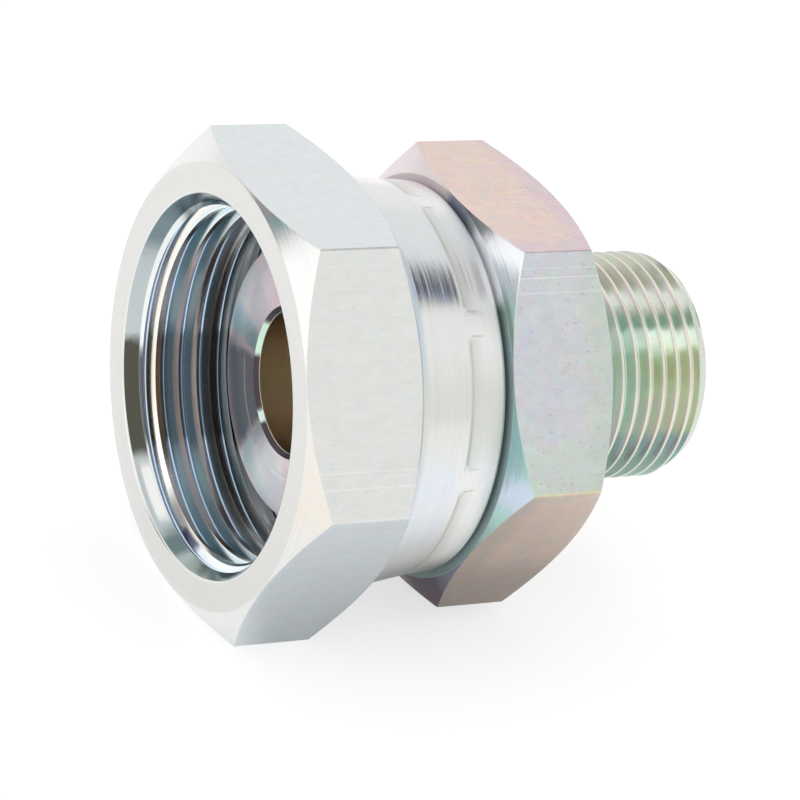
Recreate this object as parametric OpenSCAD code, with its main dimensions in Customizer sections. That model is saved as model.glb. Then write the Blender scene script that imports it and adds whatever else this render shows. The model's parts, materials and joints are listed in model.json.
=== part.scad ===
// Straight hydraulic adaptor: a hexagon body with a parallel male stud at one end
// and a swivel nut held on its nose by a swaged collar at the other.
//
// Frame: +X runs along the bore towards the stud's end, +Z is up, and the origin is
// on the bore's axis in the plane of the stud's seating shoulder. The connector lies
// with one flat of each hexagon facing down. Threads are plain cylinders: the nut's
// bore is at its crest diameter and the stud is at its outer diameter.

/* [Swivel nut] */
// Width across the flats of the nut's hexagon
nut_af = 50; // [48:0.5:56]
// Length of the nut from its mouth to the rim of its collar
nut_len = 25.75; // [24.5:0.25:32]
// Length of the nut's flats, measured along the middle of a flat
nut_flat_len = 13.8; // [10:0.1:14.6]
// Diameter of the bright face left inside the front chamfer
nut_face_d = 49.6; // [46:0.1:50]
// Diameter of the collar where it leaves the hexagon
collar_root_d = 47; // [46.4:0.1:47.8]
// Diameter of the collar at its rim, in the middle of a jaw mark
collar_rim_d = 43.94; // [43:0.02:45]
// Radius of the hollow corner between the hexagon and the collar
collar_fillet = 0.8; // [0.3:0.1:1.2]
// Rounding on the outer edge of the collar's rim
rim_round = 0.45; // [0.2:0.05:0.8]

/* [Nut thread] */
// Crest diameter of the internal thread
nut_thread_d = 39.4; // [38:0.1:40]
// Diameter of the lead-in at the mouth
nut_mouth_d = 43; // [41:0.1:44]
// Depth from the mouth to the last full turn of the thread
nut_thread_depth = 10.3; // [9:0.1:11]
// Length of the tapered run-out between the thread and the swivel chamber
nut_runout_len = 3.5; // [2.5:0.1:3.7]

/* [Swaged collar] */
// Number of closing jaws that marked the collar
jaw_count = 8; // [6:1:10]
// Arc of the ridge left between two marks in degrees
ridge_arc = 6.25; // [3:0.25:12]
// Length of the marks, measured from the rim
jaw_len = 4.4; // [3:0.1:6]
// Depth of the marks at the rim
jaw_depth = 0.4; // [0.1:0.05:0.6]
// Step that the end of a jaw pressed into the collar
jaw_step = 0.12; // [0.05:0.01:0.3]
// Length of the narrowest stretch inside the closed rim
lip_land = 1.45; // [0.8:0.05:2]

/* [Body] */
// Width across the flats of the body's hexagon
body_af = 46; // [44:0.5:50]
// Length of the body's flats, measured along the middle of a flat
body_flat_len = 12.6; // [10:0.1:18]
// Diameter of the face left inside the body's front chamfer
body_face_d = 45.8; // [43:0.1:46]
// Diameter of the stud's seating shoulder
shoulder_d = 34; // [31:0.5:38]
// Diameter of the neck that the collar closes on
neck_d = 36; // [34:0.1:37]
// Diameter of the flange that the nut pulls on
flange_d = 41.8; // [40.8:0.1:42]
// Gap between the front of the swivel chamber and the flange
flange_gap = 1.1; // [0.8:0.1:2.5]
// Diameter of the nose that seals inside the nut
nose_d = 31.2; // [28:0.1:34]
// Depth of the nose's face inside the nut's mouth
nose_depth = 10.5; // [8:0.1:12]
// Radius of the hollow corner between the nose and the flange
nose_fillet = 1; // [0.4:0.1:1.5]

/* [Stud] */
// Outer diameter of the stud's thread
stud_d = 26.441; // [25.5:0.001:27]
// Length of the stud from its shoulder
stud_len = 16; // [12:0.5:20]
// Diameter at the tip of the stud's chamfer
stud_tip_d = 23.9; // [22:0.1:25]
// Diameter of the groove between the shoulder and the thread
relief_d = 23.9; // [22:0.1:25]
// Length of that groove
relief_len = 2.3; // [1.5:0.1:3]

/* [Flow bore] */
// Diameter of the bore through the body
bore_d = 16.2; // [12:0.1:18]
// Chamfer at each end of the bore
bore_chamfer = 0.5; // [0.2:0.1:1]

/* [Fits and edges] */
// Radial clearance between the body and the nut that turns on it
swivel_clear = 0.3; // [0.2:0.05:0.3]
// Gap between the collar's rim and the body's hexagon
rim_gap = 0.4; // [0.3:0.05:1]
// Angle of the hexagon chamfers from the end faces
hex_chamfer_angle = 30; // [20:1:35]
// Angle of the chamfer on the stud's tip from its axis
tip_angle = 30; // [20:1:45]
// Small chamfer on turned edges
edge_break = 0.25; // [0.1:0.05:0.4]

/* [Hidden] */
$fn = 96;
past = 1;
arc_steps = 6;
slope = tan(hex_chamfer_angle);

// Places along the axis, from the shoulder back to the nut's mouth
x_body_flat_end = -(body_af - shoulder_d) / 2 * slope;
x_body_front = x_body_flat_end - body_flat_len;
x_rim = x_body_front - rim_gap;
x_mouth = x_rim - nut_len;
x_nut_flat_end = x_mouth + nut_flat_len;
x_nut_thread_end = x_mouth + nut_thread_depth;
x_nose = x_mouth + nose_depth;
x_chamber = x_nut_thread_end + nut_runout_len;
x_flange = x_chamber + flange_gap;

// Radii of the pieces and of the hollow that they turn in
nut_corner_r = nut_af / sqrt(3);
body_corner_r = body_af / sqrt(3);
collar_root_r = collar_root_d / 2;
collar_rim_r = collar_rim_d / 2;
flange_r = flange_d / 2;
neck_r = neck_d / 2;
chamber_r = flange_r + swivel_clear;
lip_r = neck_r + swivel_clear;

// The lip and the flange's back meet on parallel 45 degree cones
x_lip = x_rim - lip_land;
x_lip_foot = x_lip - (chamber_r - lip_r);
x_flange_back = x_lip - (flange_r - lip_r) - swivel_clear * sqrt(2);
x_neck = x_flange_back + flange_r - neck_r;

// Where the nut's rear chamfer runs down into the collar
x_collar_root = x_nut_flat_end + (nut_af / 2 - collar_root_r) * slope;
collar_taper = (collar_root_r - collar_rim_r) / (x_rim - x_collar_root);
x_jaw = x_rim - jaw_len;
jaw_pitch = 360 / jaw_count;
jaw_arc = jaw_pitch - ridge_arc;

// Stud and bore
stud_r = stud_d / 2;
tip_r = stud_tip_d / 2;
x_tip_chamfer = stud_len - (stud_r - tip_r) / tan(tip_angle);
bore_r = bore_d / 2;

// Radius of the tapered collar at a place along the axis
function collar_r(x) = collar_root_r - (x - x_collar_root) * collar_taper;

// Points of an arc, given as [radius, place] pairs
function arc(centre, r, from, to) = [
    for (i = [0 : arc_steps])
        let (a = from + (to - from) * i / arc_steps)
        [centre[0] + r * cos(a), centre[1] + r * sin(a)]
];

// Turns a profile of [radius, place] points about the X axis
module turned(points, angle = 360) {
    rotate([0, 90, 0])
        rotate_extrude(angle = angle)
            polygon(points);
}

// Hexagon bar along X with one flat facing down
module hex_bar(af, x_from, x_to) {
    translate([x_from, 0, 0])
        rotate([0, 90, 0])
            rotate([0, 0, 30])
                cylinder(h = x_to - x_from, d = af / cos(30), $fn = 6);
}

// Turned envelope that chamfers both ends of a hexagon. The front chamfer starts at
// face_r, and the rear one crosses the flats at x_flat_end.
module hex_envelope(x_front, face_r, x_flat_end, af, corner_r) {
    outer = corner_r + past;
    turned([
        [0, x_front],
        [face_r, x_front],
        [outer, x_front + (outer - face_r) * slope],
        [outer, x_flat_end - (outer - af / 2) * slope],
        [0, x_flat_end + af / 2 * slope]
    ]);
}

// Hexagon with both of its chamfers, cut square at x_end
module chamfered_hex(af, x_front, face_d, x_flat_end, corner_r, x_end) {
    intersection() {
        hex_bar(af, x_front, x_end);
        hex_envelope(x_front, face_d / 2, x_flat_end, af, corner_r);
    }
}

// Tapered collar with a hollow corner at its root and a rounded rim. The ridges
// left between the jaw marks stand on it.
module collar() {
    taper_angle = atan(collar_taper);
    run = collar_fillet * tan((90 - hex_chamfer_angle - taper_angle) / 2);
    fillet_centre = [
        collar_root_r - run * sin(taper_angle) + collar_fillet * cos(taper_angle),
        x_collar_root + run * cos(taper_angle) + collar_fillet * sin(taper_angle)
    ];
    turned([
        [0, x_collar_root - past],
        [collar_root_r, x_collar_root - past],
        each arc(fillet_centre, collar_fillet, 270 - hex_chamfer_angle, 180 + taper_angle),
        [collar_r(x_jaw), x_jaw],
        each arc([collar_rim_r + jaw_depth - rim_round, x_rim - rim_round], rim_round, 0, 90),
        [0, x_rim]
    ]);
}

// Hollow of the nut: lead-in, thread, run-out, swivel chamber and the lip of the collar
module nut_hollow() {
    thread_r = nut_thread_d / 2;
    mouth_r = nut_mouth_d / 2;
    turned([
        [0, x_mouth - past],
        [mouth_r + past, x_mouth - past],
        [thread_r, x_mouth + mouth_r - thread_r],
        [thread_r, x_nut_thread_end],
        [chamber_r, x_chamber],
        [chamber_r, x_lip_foot],
        [lip_r, x_lip],
        [lip_r, x_rim - edge_break],
        [lip_r + edge_break + past, x_rim + past],
        [0, x_rim + past]
    ]);
}

// One mark of a closing jaw: it slopes down from the collar and deepens to the rim
module jaw_mark() {
    outer = collar_root_r + past;
    floor_r = collar_r(x_jaw) - jaw_step;
    turned([
        [floor_r, x_jaw],
        [collar_rim_r, x_rim - rim_round],
        each arc([collar_rim_r - rim_round, x_rim - rim_round], rim_round, 0, 90),
        [collar_rim_r - rim_round, x_rim + past],
        [outer, x_rim + past],
        [outer, x_jaw - (outer - floor_r)]
    ], angle = jaw_arc);
}

module swivel_nut() {
    color([0.80, 0.82, 0.83])
        difference() {
            union() {
                chamfered_hex(nut_af, x_mouth, nut_face_d, x_nut_flat_end, nut_corner_r,
                    x_collar_root + past);
                collar();
            }
            nut_hollow();
            for (i = [0 : jaw_count - 1])
                rotate([(i + 0.5) * jaw_pitch - jaw_arc / 2, 0, 0])
                    jaw_mark();
        }
}

// Nose, flange, neck and stud, all turned about the bore's axis
module body_turning() {
    nose_r = nose_d / 2;
    turned([
        [0, x_nose],
        [nose_r - edge_break, x_nose],
        [nose_r, x_nose + edge_break],
        each arc([nose_r + nose_fillet, x_flange - nose_fillet], nose_fillet, 180, 90),
        [flange_r - 2 * edge_break, x_flange],
        [flange_r, x_flange + 2 * edge_break],
        [flange_r, x_flange_back],
        [neck_r, x_neck],
        [neck_r, x_body_front + past],
        [shoulder_d / 2, x_body_front + past],
        [shoulder_d / 2, 0],
        [relief_d / 2, 0],
        [relief_d / 2, relief_len],
        [stud_r, relief_len + (stud_r - relief_d / 2)],
        [stud_r, x_tip_chamfer],
        [tip_r, stud_len],
        [0, stud_len]
    ]);
}

// Straight bore through the body with a chamfer at each end
module flow_bore() {
    turned([
        [0, x_nose - past],
        [bore_r + bore_chamfer + past, x_nose - past],
        [bore_r, x_nose + bore_chamfer],
        [bore_r, stud_len - bore_chamfer],
        [bore_r + bore_chamfer + past, stud_len + past],
        [0, stud_len + past]
    ]);
}

module stud_body() {
    color([0.72, 0.73, 0.68])
        difference() {
            union() {
                body_turning();
                chamfered_hex(body_af, x_body_front, body_face_d, x_body_flat_end,
                    body_corner_r, 0);
            }
            flow_bore();
        }
}

swivel_nut();
stud_body();
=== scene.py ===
"""Looks of a straight hydraulic connector: a swivel nut and a studded body, in zinc plate."""
import json
import logging
import math
from dataclasses import dataclass
from enum import IntEnum
from typing import Callable, Sequence

import bmesh
import bpy
from mathutils import Matrix, Vector


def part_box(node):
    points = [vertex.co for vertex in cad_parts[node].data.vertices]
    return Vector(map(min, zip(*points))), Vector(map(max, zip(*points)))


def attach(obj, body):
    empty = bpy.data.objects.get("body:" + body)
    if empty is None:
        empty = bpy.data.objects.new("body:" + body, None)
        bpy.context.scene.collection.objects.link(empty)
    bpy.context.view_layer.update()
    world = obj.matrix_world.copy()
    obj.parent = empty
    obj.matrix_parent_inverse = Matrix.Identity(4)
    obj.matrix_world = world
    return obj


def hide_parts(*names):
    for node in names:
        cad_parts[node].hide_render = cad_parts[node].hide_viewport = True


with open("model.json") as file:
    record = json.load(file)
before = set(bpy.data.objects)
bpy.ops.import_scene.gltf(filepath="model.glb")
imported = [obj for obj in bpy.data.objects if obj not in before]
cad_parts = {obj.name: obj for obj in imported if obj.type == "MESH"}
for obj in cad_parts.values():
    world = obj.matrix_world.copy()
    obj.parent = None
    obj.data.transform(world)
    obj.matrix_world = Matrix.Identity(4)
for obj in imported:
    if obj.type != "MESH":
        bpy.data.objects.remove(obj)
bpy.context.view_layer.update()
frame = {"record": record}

LOG = logging.getLogger("connector")
MM = 0.001
TURN = 2 * math.pi
HEX_SIDES = 6

# Lengths in millimetres.
PAST = 2.0
MERGE = 0.002
IN_PLANE = 1e-3
NUDGE = 0.02
HOLD = 0.3
CORNER_ROUND = 0.18
CHAMFER_ROUND = 0.06

# A wash whose soft edge is narrower than this keeps to the shape.
CRISP = 1.0

# Where the holding rings lie on a hexagon's side and chamfers and on the collar's plain cone.
SIDE_SHARES = (0, 0.03, 0.12, 0.35, 0.65, 0.88, 0.97, 1)
CHAMFER_SHARES = (0.1, 0.5, 0.9)
CONE_SHARES = (0.1, 0.4, 0.7, 1)

# Rings of the jaws' stretch, in millimetres from where the marks start.
JAW_RINGS = (-0.25, -0.1, 0, 0.1, 0.2, 0.35, 0.6, 0.9, 1.2, 1.5, 2.1, 2.7, 3.3, 3.75)

# Angles between faces, past which an edge is a bar's corner, a chamfer's edge or drawn sharp.
BAR_CORNER = math.radians(40)
CHAMFER_EDGE = math.radians(25)
SHARP_EDGE = math.radians(28)


def box_mm(node: str) -> tuple[Vector, Vector]:
    """Lowest and highest corner of a CAD node, in millimetres."""
    low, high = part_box(node)
    return low / MM, high / MM


def mount_dims(name: str) -> dict[str, float]:
    """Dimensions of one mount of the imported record, in millimetres."""
    return next(m["dims"] for m in frame["record"]["mounts"] if m["name"] == name)


class Zone(IntEnum):
    """Ways in which a surface was made, each with a finish of its own."""
    TURNED = 0
    DRAWN = 1
    CUT = 2
    INNER = 3


@dataclass(frozen=True)
class Ring:
    """One ring of a turned skin.

    Args:
        place: gives the ring's place along the axis and its radius at an angle.
        zone: how the band between this ring and the next was made.
    """
    place: Callable[[float], tuple[float, float]]
    zone: Zone = Zone.TURNED


def plain(x: float, radius: float, zone: Zone = Zone.TURNED) -> Ring:
    """A round ring that lies square to the axis."""
    return Ring(lambda angle: (x, radius), zone)


def plains(zone: Zone, *spots: tuple[float, float]) -> list[Ring]:
    """Round rings of one zone, at places along the axis and radii."""
    return [plain(x, radius, zone) for x, radius in spots]


def arc(centre: tuple[float, float], radius: float, start: float, end: float, steps: int) -> list[Ring]:
    """Plain rings along an arc.

    Args:
        centre: place along the axis and distance from it.
        radius: radius of the arc.
        start: first angle in degrees, from +X towards the outside.
        end: last angle in degrees.
        steps: number of parts that the arc is cut into.

    Returns:
        The rings, with both ends included.
    """
    angles = [math.radians(start + (end - start) * i / steps) for i in range(steps + 1)]
    return [plain(centre[0] + radius * math.cos(a), centre[1] + radius * math.sin(a)) for a in angles]


def smooth(value: float) -> float:
    """Eased step from 0 to 1 with its ends held."""
    value = min(max(value, 0.0), 1.0)
    return value * value * (3 - 2 * value)


@dataclass(frozen=True)
class Hexagon:
    """A hexagon bar along X, with a flat facing up and turned chamfers at both ends.

    Args:
        flats: width across the flats.
        front: place of the front face.
        face_r: radius of the face left inside the front chamfer.
        flat_end: where the rear chamfer crosses the middle of a flat.
        slope: rise of the chamfers along the axis for each step outwards.
    """
    flats: float
    front: float
    face_r: float
    flat_end: float
    slope: float = math.tan(math.radians(30))

    def radius(self, angle: float) -> float:
        """Distance from the axis to the bar's side at an angle."""
        sector = TURN / HEX_SIDES
        off_middle = (angle - math.pi / 2 + sector / 2) % sector - sector / 2
        return self.flats / 2 / math.cos(off_middle)

    def front_edge(self, angle: float) -> float:
        """Place along the axis where the front chamfer meets the side."""
        return self.front + (self.radius(angle) - self.face_r) * self.slope

    def rear_edge(self, angle: float) -> float:
        """Place along the axis where the rear chamfer meets the side."""
        return self.flat_end - (self.radius(angle) - self.flats / 2) * self.slope

    def front_chamfer(self, share: float) -> Ring:
        """Ring on the front chamfer, from its inner edge at 0 to its outer edge at 1."""
        def place(angle: float) -> tuple[float, float]:
            radius = self.face_r + (self.radius(angle) - self.face_r) * share
            return self.front + (radius - self.face_r) * self.slope, radius
        return Ring(place)

    def side(self, share: float) -> Ring:
        """Ring round the flats, from the front chamfer at 0 to the rear chamfer at 1."""
        def place(angle: float) -> tuple[float, float]:
            first, last = self.front_edge(angle), self.rear_edge(angle)
            return first + (last - first) * share, self.radius(angle)
        return Ring(place, Zone.DRAWN if share < 1 else Zone.TURNED)

    def rear_chamfer(self, share: float, inner_r: float) -> Ring:
        """Ring on the rear chamfer, from its outer edge at 0 to a round inner edge at 1."""
        def place(angle: float) -> tuple[float, float]:
            radius = self.radius(angle) + (inner_r - self.radius(angle)) * share
            return self.flat_end + (self.flats / 2 - radius) * self.slope, radius
        return Ring(place)

    def rings(self, inner_r: float) -> list[Ring]:
        """All rings from the front chamfer's inner edge to the end of the rear chamfer."""
        return [
            *(self.front_chamfer(s) for s in (0, *CHAMFER_SHARES)),
            *(self.side(s) for s in SIDE_SHARES),
            *(self.rear_chamfer(s, inner_r) for s in CHAMFER_SHARES),
        ]


@dataclass(frozen=True)
class PipeThread:
    """Rounded 55 degree parallel thread, right-handed about +X.

    Args:
        major_r: outer radius of the thread.
        pitch: advance in one turn.
        crest_at: place of one crest of the outer form, at the top of the piece.
        flank_angle: slope of the flanks against a plane square to the axis.
        rounding: radius of the crests and roots, as a share of the pitch.
        depth: depth of the thread, as a share of the pitch.
        arc_parts: parts that a crest's rounding is cut into.
        spare_turns: turns that are made past the ends and then cut off.
    """
    major_r: float
    pitch: float
    crest_at: float
    flank_angle: float = math.radians(27.5)
    rounding: float = 0.137329
    depth: float = 0.640327
    arc_parts: int = 6
    spare_turns: int = 4

    def wave(self) -> list[tuple[float, float]]:
        """One pitch of the form, from crest to crest, as places and radii."""
        round_r = self.rounding * self.pitch
        reach = math.pi / 2 - self.flank_angle
        parts = self.arc_parts // 2
        half = [
            (round_r * math.sin(a), self.major_r - round_r + round_r * math.cos(a))
            for a in (reach * i / parts for i in range(parts + 1))
        ]
        minor_r = self.major_r - self.depth * self.pitch
        falling = half + [(self.pitch / 2 - x, minor_r + self.major_r - r) for x, r in reversed(half)]
        rising = [(self.pitch - x, r) for x, r in reversed(falling)]
        return falling + rising[1:-1]

    def sheet(self, first: float, last: float, steps: int) -> bmesh.types.BMesh:
        """Open thread surface between two planes square to the axis.

        Args:
            first: where the sheet starts along the axis.
            last: where it ends.
            steps: parts in one turn.

        Returns:
            A tube with one boundary loop at each end.
        """
        mesh = bmesh.new()
        turns = math.ceil((last - first) / self.pitch) + self.spare_turns
        start = self.crest_at + self.pitch * math.floor((first - self.crest_at) / self.pitch - 1)
        points = [(start + t * self.pitch + x, r) for t in range(turns) for x, r in self.wave()]
        verts = [mesh.verts.new((x, 0, r)) for x, r in points]
        edges = [mesh.edges.new(pair) for pair in zip(verts, verts[1:])]
        bmesh.ops.spin(
            mesh, geom=verts + edges, cent=(0, 0, 0), axis=(1, 0, 0), angle=TURN, steps=steps,
            dvec=(self.pitch / steps, 0, 0), use_merge=False, use_duplicate=False,
        )
        bmesh.ops.remove_doubles(mesh, verts=mesh.verts[:], dist=MERGE)
        for place, side in ((first, -1), (last, 1)):
            bmesh.ops.bisect_plane(
                mesh, geom=mesh.verts[:] + mesh.edges[:] + mesh.faces[:], dist=IN_PLANE / 100,
                plane_co=(place, 0, 0), plane_no=(side, 0, 0), clear_outer=True,
            )
        return mesh

    def rod(self, first: float, last: float, steps: int) -> bmesh.types.BMesh:
        """Closed rod with the thread on it."""
        mesh = self.sheet(first, last, steps)
        for place in (first, last):
            bmesh.ops.contextual_create(mesh, geom=loop_at(mesh, place))
        return closed(mesh)

    def sleeve(self, first: float, last: float, outer_r: float, steps: int) -> bmesh.types.BMesh:
        """Closed sleeve whose hole has the thread's form."""
        mesh = self.sheet(first, last, steps)
        outer_edges = []
        for place in (first, last):
            grown = bmesh.ops.extrude_edge_only(mesh, edges=loop_at(mesh, place))["geom"]
            for vert in (g for g in grown if isinstance(g, bmesh.types.BMVert)):
                scale = outer_r / math.hypot(vert.co.y, vert.co.z)
                vert.co = (place, vert.co.y * scale, vert.co.z * scale)
            outer_edges += [g for g in grown if isinstance(g, bmesh.types.BMEdge)]
        bmesh.ops.bridge_loops(mesh, edges=[e for e in outer_edges if e.is_boundary])
        return closed(mesh)


def loop_at(mesh: bmesh.types.BMesh, place: float) -> list[bmesh.types.BMEdge]:
    """Boundary edges that lie in a plane square to the axis."""
    return [
        e for e in mesh.edges
        if e.is_boundary and all(abs(v.co.x - place) < IN_PLANE for v in e.verts)
    ]


def closed(mesh: bmesh.types.BMesh) -> bmesh.types.BMesh:
    """The same mesh with its faces pointing outwards, after a check that it is closed."""
    bmesh.ops.recalc_face_normals(mesh, faces=mesh.faces[:])
    open_edges = sum(not e.is_manifold for e in mesh.edges)
    if open_edges:
        LOG.warning("a cutter or blank has %d open edges", open_edges)
    return mesh


def turned_skin(rings: Sequence[Ring], steps: int) -> bmesh.types.BMesh:
    """Closed skin turned about X, whose rings follow their own outlines.

    Args:
        rings: outline of the section, in order round it.
        steps: parts in one turn.

    Returns:
        The skin, with the material index of each face set to its zone.
    """
    mesh = bmesh.new()
    layer = mesh.verts.layers.int.new("ring")
    verts = []
    for index, ring in enumerate(rings):
        x, radius = ring.place(0.0)
        vert = mesh.verts.new((x, radius, 0))
        vert[layer] = index
        verts.append(vert)
    edges = [mesh.edges.new(pair) for pair in zip(verts, verts[1:] + verts[:1])]
    bmesh.ops.spin(
        mesh, geom=verts + edges, cent=(0, 0, 0), axis=(1, 0, 0), angle=TURN, steps=steps,
        use_merge=True, use_duplicate=False,
    )
    for vert in mesh.verts:
        angle = math.atan2(vert.co.z, vert.co.y)
        x, radius = rings[vert[layer]].place(angle)
        vert.co = (x, radius * math.cos(angle), radius * math.sin(angle))
    last = len(rings) - 1
    for face in mesh.faces:
        found = {v[layer] for v in face.verts}
        band = last if found == {0, last} else min(found)
        face.material_index = int(rings[band].zone)
    return closed(mesh)


def bevel(mesh: bmesh.types.BMesh, edges: list[bmesh.types.BMEdge], width: float, segments: int) -> None:
    """Round some edges of a mesh."""
    bmesh.ops.bevel(
        mesh, geom=edges, offset=width, offset_type="OFFSET", segments=segments, profile=0.5,
        affect="EDGES", material=-1, clamp_overlap=False,
    )


def round_hexagon(mesh: bmesh.types.BMesh, hexagon: Hexagon) -> None:
    """Round the corners of a hexagon and the edges of its chamfers.

    Args:
        mesh: the turned skin that holds the hexagon.
        hexagon: its sizes.
    """
    def reaches(edge: bmesh.types.BMEdge, radius: float) -> bool:
        """Whether both ends of an edge lie outside a radius."""
        return all(math.hypot(v.co.y, v.co.z) > radius for v in edge.verts)

    def run(edge: bmesh.types.BMEdge) -> float:
        """How far an edge runs along the axis."""
        return abs(edge.verts[0].co.x - edge.verts[1].co.x)

    corner_r = hexagon.flats / math.sqrt(3) - 0.01
    along = [
        e for e in mesh.edges
        if reaches(e, corner_r) and e.calc_face_angle(0) > BAR_CORNER and run(e) > 0.05
    ]
    bevel(mesh, along, CORNER_ROUND, 3)
    around = [
        e for e in mesh.edges
        if e.calc_face_angle(0) > CHAMFER_EDGE and reaches(e, hexagon.face_r + 0.05)
        and hexagon.front - 0.1 < e.verts[0].co.x < hexagon.flat_end + 0.1 and run(e) < 0.5
    ]
    bevel(mesh, around, CHAMFER_ROUND, 2)


def mesh_object(name: str, mesh: bmesh.types.BMesh, scale: float = 1.0) -> bpy.types.Object:
    """New object at the origin that holds a mesh.

    Args:
        name: name of the object and its data.
        mesh: the mesh, which is freed.
        scale: factor put into the mesh.

    Returns:
        The linked object.
    """
    bmesh.ops.scale(mesh, vec=(scale, scale, scale), verts=mesh.verts[:])
    data = bpy.data.meshes.new(name)
    mesh.to_mesh(data)
    mesh.free()
    piece = bpy.data.objects.new(name, data)
    bpy.context.scene.collection.objects.link(piece)
    return piece


def coat(piece: bpy.types.Object, materials: Sequence[bpy.types.Material]) -> None:
    """Give a piece its materials, one for each zone."""
    for material in materials:
        piece.data.materials.append(material)


def carve(
    blank: bmesh.types.BMesh, cutter: bmesh.types.BMesh, materials: Sequence[bpy.types.Material],
) -> bmesh.types.BMesh:
    """Cut one closed mesh out of another, which leaves the cut zone's finish on the new surfaces.

    Args:
        blank: what is cut.
        cutter: what is taken away.
        materials: one material for each zone.

    Returns:
        The mesh that is left.
    """
    for face in cutter.faces:
        face.material_index = int(Zone.CUT)
    work, tool = mesh_object("blank", blank), mesh_object("cutter", cutter)
    for thing in (work, tool):
        coat(thing, materials)
    cut = work.modifiers.new("cut", "BOOLEAN")
    cut.operation, cut.solver, cut.object = "DIFFERENCE", "EXACT", tool
    bpy.context.view_layer.update()
    done = work.evaluated_get(bpy.context.evaluated_depsgraph_get())
    result = bmesh.new()
    result.from_mesh(done.to_mesh())
    done.to_mesh_clear()
    for thing in (work, tool):
        data = thing.data
        bpy.data.objects.remove(thing)
        bpy.data.meshes.remove(data)
    return result


class Graph:
    """Short ways to add and join shader nodes."""

    def __init__(self, tree: bpy.types.NodeTree) -> None:
        """Start an empty graph in a node tree."""
        self.tree = tree
        tree.nodes.clear()

    def add(self, kind: str, **settings: object) -> bpy.types.Node:
        """New node with some of its properties set."""
        node = self.tree.nodes.new("ShaderNode" + kind)
        for name, value in settings.items():
            setattr(node, name, value)
        return node

    def put(self, socket: bpy.types.NodeSocket, value: object) -> None:
        """Link a socket to an output, or set its constant."""
        if isinstance(value, bpy.types.NodeSocket):
            self.tree.links.new(value, socket)
        else:
            socket.default_value = value

    def fill(self, node: bpy.types.Node, *values: object) -> bpy.types.Node:
        """The same node with its first inputs filled."""
        for socket, value in zip(node.inputs, values):
            self.put(socket, value)
        return node

    def math(self, operation: str, *values: object) -> bpy.types.NodeSocket:
        """Result of a Math node."""
        return self.fill(self.add("Math", operation=operation), *values).outputs[0]

    def times(self, a: object, b: object) -> bpy.types.NodeSocket:
        """Product of two numbers."""
        return self.math("MULTIPLY", a, b)

    def rest(self, share: object) -> bpy.types.NodeSocket:
        """What a share leaves of 1."""
        return self.math("SUBTRACT", 1.0, share)

    def vector(self, operation: str, *values: object) -> bpy.types.NodeSocket:
        """Result of a Vector Math node."""
        return self.fill(self.add("VectorMath", operation=operation), *values).outputs[0]

    def scale(self, vector: object, factor: object) -> bpy.types.NodeSocket:
        """A vector times a number."""
        node = self.fill(self.add("VectorMath", operation="SCALE"), vector)
        self.put(node.inputs["Scale"], factor)
        return node.outputs[0]

    def dot(self, a: object, b: object) -> bpy.types.NodeSocket:
        """Dot product of two vectors."""
        return self.fill(self.add("VectorMath", operation="DOT_PRODUCT"), a, b).outputs["Value"]

    def split(self, vector: object) -> tuple[bpy.types.NodeSocket, ...]:
        """The three parts of a vector."""
        return tuple(self.fill(self.add("SeparateXYZ"), vector).outputs)

    def join(self, *parts: object) -> bpy.types.NodeSocket:
        """A vector made of three parts."""
        return self.fill(self.add("CombineXYZ"), *parts).outputs[0]

    def ease(self, value: object, low: float, high: float) -> bpy.types.NodeSocket:
        """Eased step from 0 at low to 1 at high."""
        node = self.add("MapRange", interpolation_type="SMOOTHSTEP")
        return self.fill(node, value, low, high).outputs[0]

    def noise(self, vector: object, scale: float, detail: float, rough: float = 0.5) -> bpy.types.Node:
        """A 3-D noise texture."""
        node = self.add("TexNoise")
        values = {"Vector": vector, "Scale": scale, "Detail": detail, "Roughness": rough}
        for name, value in values.items():
            self.put(node.inputs[name], value)
        return node

    def drift(self, vector: object, scale: float, detail: float) -> bpy.types.NodeSocket:
        """A vector that drifts about zero from place to place."""
        return self.vector("SUBTRACT", self.noise(vector, scale, detail).outputs["Color"], (0.5, 0.5, 0.5))

    def blend(self, share: object, a: object, b: object, how: str = "MIX") -> bpy.types.NodeSocket:
        """Mix of two colours."""
        node = self.add("Mix", data_type="RGBA", blend_type=how)
        self.put(node.inputs[0], share)
        for socket, value in ((node.inputs[6], a), (node.inputs[7], b)):
            self.put(socket, (*value, 1) if isinstance(value, tuple) else value)
        return node.outputs[2]


Colour = tuple[float, float, float]
Direction = tuple[float, float, float]
Span = tuple[float, float, float]
Tint = tuple[int, int, int]

# Noise patterns in the film: marks in a millimetre, detail and, where it isn't plain, roughness.
FILM_DRIFT = (0.35, 3.0)
CLOUDS = (0.55, 4.0)
SCRATCHES = (2.4, 3.0, 0.7)
PITS = (3.1, 2.0)
MARK_DETAIL = 4.0
MARK_ROUGHNESS = 0.62

# How far soft edges wander in millimetres, and how far patterns are drawn out along the axis.
WANDER = 2.6
SCRATCH_STRETCH = 0.012
PIT_STRETCH = 0.75

# Levels of the noise between which a scratch or a pit fades in.
LIGHT_SCRATCH = (0.64, 0.72)
DARK_SCRATCH = (0.36, 0.28)
PIT_EDGE = (0.36, 0.26)


def linear(tint: Tint) -> Colour:
    """Linear colour of a tint that is given as 8-bit red, green and blue."""
    return tuple(((v / 255 + 0.055) / 1.055) ** 2.4 for v in tint)


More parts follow.
